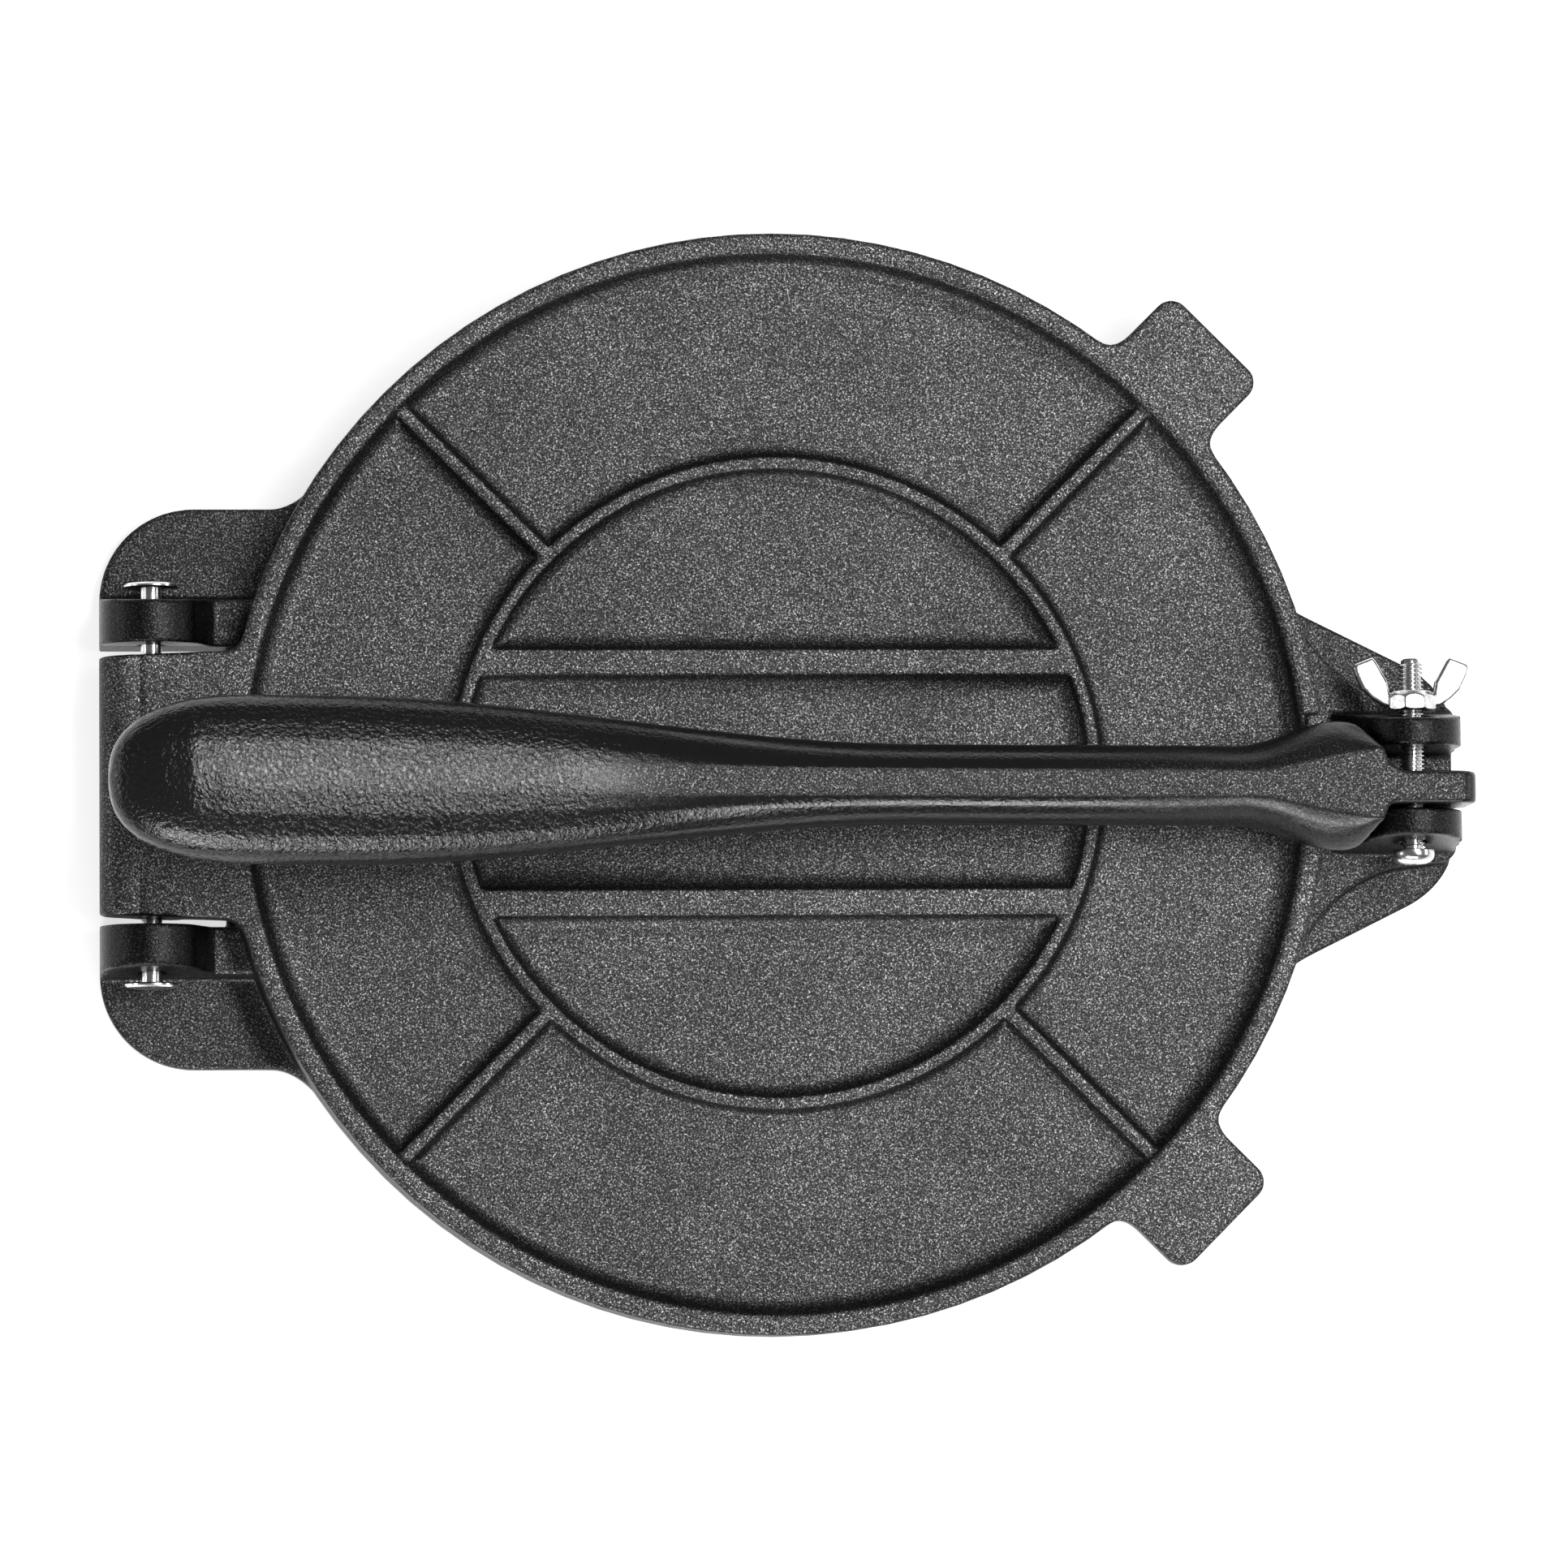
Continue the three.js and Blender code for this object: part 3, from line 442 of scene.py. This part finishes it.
def brightZinc(name):
    look = zincPlate
    material, tree, shader = newMaterial(name)
    place = objectPlace(tree)
    haze = noise(tree, place, look["hazeSize"], look["hazeDetail"])
    marks = noise(tree, place, look["markSize"])
    clear = mapRange(tree, haze, *look["hazeBreak"], 0, 1)
    tone = mixColour(tree, clear, grey(look["dull"]), grey(look["tone"]))
    tree.links.new(tone, shader.inputs["Base Color"])
    smoothest, roughest = look["rough"]
    rough = mapRange(tree, haze, *look["hazeBreak"], roughest, smoothest)
    tree.links.new(rough, shader.inputs["Roughness"])
    tree.links.new(bumped(tree, marks, look["markBump"], look["markDepth"] * mm), shader.inputs["Normal"])
    shader.inputs["Metallic"].default_value = 1
    return material


topIron = sandCastIron("sandCastIronTop", ribs=True)
baseIron = sandCastIron("sandCastIronBase", ears=True)
leverIron = satinCoatedIron("satinCoatedIron")
zinc = brightZinc("brightZinc")


# Castings: the frame's solids with the soft edges that a sand mould gives
print("Castings")

castings = {
    "topCasting": {"node": "top_plate", "body": "top", "slot": "cast_iron", "finish": topIron,
                   "grain": 0.6, "rounds": 3, "triangles": 190000},
    "baseCasting": {"node": "base_plate", "body": "base", "slot": "cast_iron", "finish": baseIron,
                    "grain": 0.6, "rounds": 5, "triangles": 190000},
    "leverCasting": {"node": "lever_handle", "body": "lever", "slot": "lever_iron", "finish": leverIron,
                     "grain": 0.6, "rounds": 14, "triangles": 170000},
}


smoothShare = 0.5  # how far each round of smoothing moves a corner


def castPiece(name, plan):
    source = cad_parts[plan["node"]]
    piece = bpy.data.objects.new(name, source.data.copy())
    piece.data.name = name
    bpy.context.collection.objects.link(piece)
    tidyMesh(piece)
    modify(piece, "REMESH", mode="VOXEL", voxel_size=plan["grain"] * mm)
    modify(piece, "SMOOTH", factor=smoothShare, iterations=plan["rounds"])
    count = 2 * len(piece.data.polygons)
    if count > plan["triangles"]:
        modify(piece, "DECIMATE", ratio=plan["triangles"] / count)
    pick(piece)
    bpy.ops.object.shade_smooth()
    dress(piece, plan["body"], plan["node"], plan["finish"])


for name, plan in castings.items():
    castPiece(name, plan)


# Hinge pins: one is drawn out of a rod and copied to the other side
print("Hinge pins")

hingePin = {
    "shank": 2.5, "facets": 40, "tipBevel": 0.35,
    "head": [[6.1, 0], [6.6, 0.3], [6.6, 0.7], [6.2, 1.1], [4.4, 1.38], [2.0, 1.5]],  # radius, height
    "headHeight": 1.5, "sharpAngle": 35,
}


def makeHingePin():
    look = hingePin
    low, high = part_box("hinge_pin_left")
    length = (high[1] - low[1]) / mm - look["headHeight"]
    deselectAll()
    bpy.ops.mesh.primitive_cylinder_add(vertices=look["facets"], radius=look["shank"] * mm, depth=length * mm,
                                        location=(0, 0, length / 2 * mm))
    pin = settle(named("hingePinLeft"))
    chooseFaces(pin, lambda middle, normal: normal.z < -0.9)
    bpy.ops.mesh.bevel(offset=look["tipBevel"] * mm, segments=2, affect="EDGES")
    chooseFaces(pin, lambda middle, normal: normal.z > 0.9)
    drawOut([[look["shank"], 0], *look["head"]])
    tidyMesh(pin)
    softShade(pin, look["sharpAngle"])
    across, height = crossMiddle(low, high)
    pick(pin)
    bpy.ops.object.duplicate()
    other = named("hingePinRight")
    layAlongY(pin, (across, low[1] / mm, height))
    layAlongY(other, (across, -low[1] / mm, height), -1)
    return pin, other


leftPin, rightPin = makeHingePin()
dress(leftPin, "base", "hinge_pin_left", zinc)
dress(rightPin, "base", "hinge_pin_right", zinc)


# Pivot screw: pan head with a cross recess, and a thread along the shank
print("Pivot screw")

pivotScrew = {
    "facets": 48,
    "head": [[5.1, -1.2], [5.0, -1.75], [4.68, -2.35], [4.1, -2.9], [3.2, -3.32], [2.0, -3.54], [0.9, -3.6]],
    "headHeight": 3.6, "headEdge": 1.2, "headBevel": 0.2,
    "recessSpan": 5.4, "recessWidth": 1.15, "recessDepth": 1.9, "recessTaper": 0.62,
    "core": 2.36, "crest": 2.93, "pitch": 1.0, "rootWidth": 0.86, "crestWidth": 0.16, "steps": 20,
    "sink": 0.1,  # how deep the thread's root lies in the core
    "headGap": 0.1,  # from the head to the first turn, besides half a pitch
    "endTaper": 0.6, "sharpAngle": 32,
}


def cutRecess(head):
    look = pivotScrew
    deselectAll()
    for turn in (0, math.pi / 2):
        bpy.ops.mesh.primitive_cube_add(size=mm, location=(0, 0, 0))
        bar = named("recessBar")
        bar.scale = (look["recessSpan"], look["recessWidth"], 2 * look["recessDepth"])
        bar.location.z = -look["headHeight"] * mm
        bar.rotation_euler.z = turn
        settle(bar)
        chooseFaces(bar, lambda middle, normal: normal.z > 0.9)
        bpy.ops.transform.resize(value=(look["recessTaper"], look["recessTaper"], 1),
                                 center_override=(0, 0, 0))
        objectMode()
        modify(head, "BOOLEAN", object=bar, operation="DIFFERENCE", solver="EXACT")
        pick(bar)
        bpy.ops.object.delete()


def makeThread(length):
    look = pivotScrew
    deselectAll()
    bpy.ops.mesh.primitive_plane_add(size=mm, location=(0, 0, 0), rotation=(math.pi / 2, 0, 0))
    thread = settle(named("thread"))
    editing(thread, "EDGE")
    bpy.ops.mesh.select_all(action="SELECT")
    bpy.ops.transform.resize(value=(look["crest"] - look["core"] + look["sink"], 1, look["rootWidth"]),
                             center_override=(0, 0, 0))
    bpy.ops.transform.translate(value=((look["crest"] + look["core"] - look["sink"]) / 2 * mm, 0, 0))
    objectMode()
    # the outer edge is picked and narrowed to the crest
    for corner in thread.data.vertices:
        corner.select = corner.co.x > look["core"] * mm
    for edge in thread.data.edges:
        edge.select = all(thread.data.vertices[i].select for i in edge.vertices)
    for face in thread.data.polygons:
        face.select = False
    editing(thread, "EDGE")
    narrow = look["crestWidth"] / look["rootWidth"]
    bpy.ops.transform.resize(value=(1, 1, narrow), center_override=(0, 0, 0))
    bpy.ops.mesh.select_all(action="SELECT")
    bpy.ops.mesh.delete(type="ONLY_FACE")
    objectMode()
    turns = int((length - look["endTaper"]) / look["pitch"]) - 1
    modify(thread, "SCREW", axis="Z", angle=2 * math.pi, screw_offset=look["pitch"] * mm, iterations=turns,
           steps=look["steps"], render_steps=look["steps"])
    editing(thread, "EDGE")
    bpy.ops.mesh.select_all(action="SELECT")
    bpy.ops.mesh.fill_holes(sides=4)
    objectMode()
    thread.location.z = (look["pitch"] / 2 + look["headGap"]) * mm
    return settle(thread)


def makePivotScrew():
    look = pivotScrew
    low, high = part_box("pivot_bolt")
    length = (high[1] - low[1]) / mm - look["headHeight"]
    deselectAll()
    radius, edge = look["head"][0][0], look["headEdge"]
    bpy.ops.mesh.primitive_cylinder_add(vertices=look["facets"], radius=radius * mm, depth=edge * mm,
                                        location=(0, 0, -edge / 2 * mm))
    head = settle(named("pivotScrew"))
    chooseFaces(head, lambda middle, normal: normal.z < -0.9)
    drawOut(look["head"])
    chooseFaces(head, lambda middle, normal: normal.z > 0.9)
    bpy.ops.mesh.bevel(offset=look["headBevel"] * mm, segments=2, affect="EDGES")
    tidyMesh(head)
    cutRecess(head)

    deselectAll()
    body = length - look["endTaper"]
    bpy.ops.mesh.primitive_cylinder_add(vertices=look["facets"], radius=look["core"] * mm, depth=body * mm,
                                        location=(0, 0, body / 2 * mm))
    core = settle(named("core"))
    chooseFaces(core, lambda middle, normal: normal.z > 0.9)
    drawOut([[look["core"], body], [look["core"] - look["endTaper"] / 2, length]])
    objectMode()
    screw = joined("pivotScrew", head, core, makeThread(length))
    tidyMesh(screw)
    softShade(screw, look["sharpAngle"])
    across, height = crossMiddle(low, high)
    return layAlongY(screw, (across, low[1] / mm + look["headHeight"], height))


dress(makePivotScrew(), "base", "pivot_bolt", zinc)


# Wing nut: a hub with eight slight flats and two flat wings, softened as one casting
print("Wing nut")

wingNut = {
    "hub": [[5.3, 0], [5.9, 0.4], [6.2, 0.9], [6.2, 2.9], [5.5, 3.9], [4.75, 4.8]],  # radius, height
    "sides": 8, "sideRadius": [6.15, 5.95],  # corner radius at the seat and at the top
    "hubHeight": 4.8, "seatStep": 0.1, "bore": 3.2, "boreLength": 30, "facets": 48,
    # x and height along the screw, clockwise
    "wing": [[5.1, 1.0], [5.3, 4.7], [5.7, 7.1], [8.6, 12.3], [9.3, 13.05], [13.5, 11.4], [14.05, 10.5],
             [13.4, 8.5], [11.8, 5.2], [9.6, 3.0], [6.9, 1.3]],
    "wingThickness": 2.4, "wingBevel": 0.7,
    "voxel": 0.17, "rounds": 2, "sharpAngle": 40,
}


def makeWing():
    look = wingNut
    xs, heights = zip(*look["wing"])
    middle = ((min(xs) + max(xs)) / 2, (min(heights) + max(heights)) / 2)
    deselectAll()
    bpy.ops.mesh.primitive_cube_add(size=mm, location=(middle[0] * mm, 0, middle[1] * mm))
    wing = named("wing")
    wing.scale = (max(xs) - min(xs), look["wingThickness"], max(heights) - min(heights))
    settle(wing)
    corners = look["wing"]
    for (x, z), (nextX, nextZ) in zip(corners, corners[1:] + corners[:1]):
        editing(wing)
        bpy.ops.mesh.select_all(action="SELECT")
        outward = Vector((z - nextZ, 0, nextX - x)).normalized()
        bpy.ops.mesh.bisect(plane_co=(x * mm, 0, z * mm), plane_no=outward, use_fill=True, clear_outer=True)
        objectMode()
    chooseFaces(wing, lambda middle, normal: abs(normal.y) > 0.9)
    bpy.ops.mesh.bevel(offset=look["wingBevel"] * mm, segments=3, affect="EDGES")
    objectMode()
    return wing


def makeWingNut():
    look = wingNut
    low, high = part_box("wing_nut")
    deselectAll()
    seatRadius = look["hub"][0][0]
    step = look["seatStep"]
    bpy.ops.mesh.primitive_cylinder_add(vertices=look["facets"], radius=seatRadius * mm, depth=step * mm,
                                        location=(0, 0, step / 2 * mm))
    hub = settle(named("wingNut"))
    chooseFaces(hub, lambda middle, normal: normal.z > 0.9)
    drawOut([[seatRadius, step], *look["hub"][1:]])
    tidyMesh(hub)
    deselectAll()
    wide, narrow = look["sideRadius"]
    bpy.ops.mesh.primitive_cone_add(vertices=look["sides"], radius1=wide * mm, radius2=narrow * mm,
                                    depth=look["hubHeight"] * mm, rotation=(0, 0, math.pi / look["sides"]),
                                    location=(0, 0, look["hubHeight"] / 2 * mm))
    flatSides = settle(named("flatSides"))
    modify(hub, "BOOLEAN", object=flatSides, operation="INTERSECT", solver="EXACT")
    wing = makeWing()
    pick(wing)
    bpy.ops.object.duplicate()
    otherWing = named("otherWing")
    otherWing.rotation_euler.z = math.pi
    settle(otherWing)
    deselectAll()
    bpy.ops.mesh.primitive_cylinder_add(vertices=look["facets"], radius=look["bore"] * mm,
                                        depth=look["boreLength"] * mm)
    bore = named("bore")
    nut = joined("wingNut", hub, wing, otherWing)
    modify(nut, "REMESH", mode="VOXEL", voxel_size=look["voxel"] * mm)
    modify(nut, "BOOLEAN", object=bore, operation="DIFFERENCE", solver="EXACT")
    modify(nut, "SMOOTH", factor=smoothShare, iterations=look["rounds"])
    pick(flatSides, bore)
    bpy.ops.object.delete()
    softShade(nut, look["sharpAngle"])
    across, height = crossMiddle(low, high)
    return layAlongY(nut, (across, low[1] / mm, height))


dress(makeWingNut(), "nut", "wing_nut", zinc)
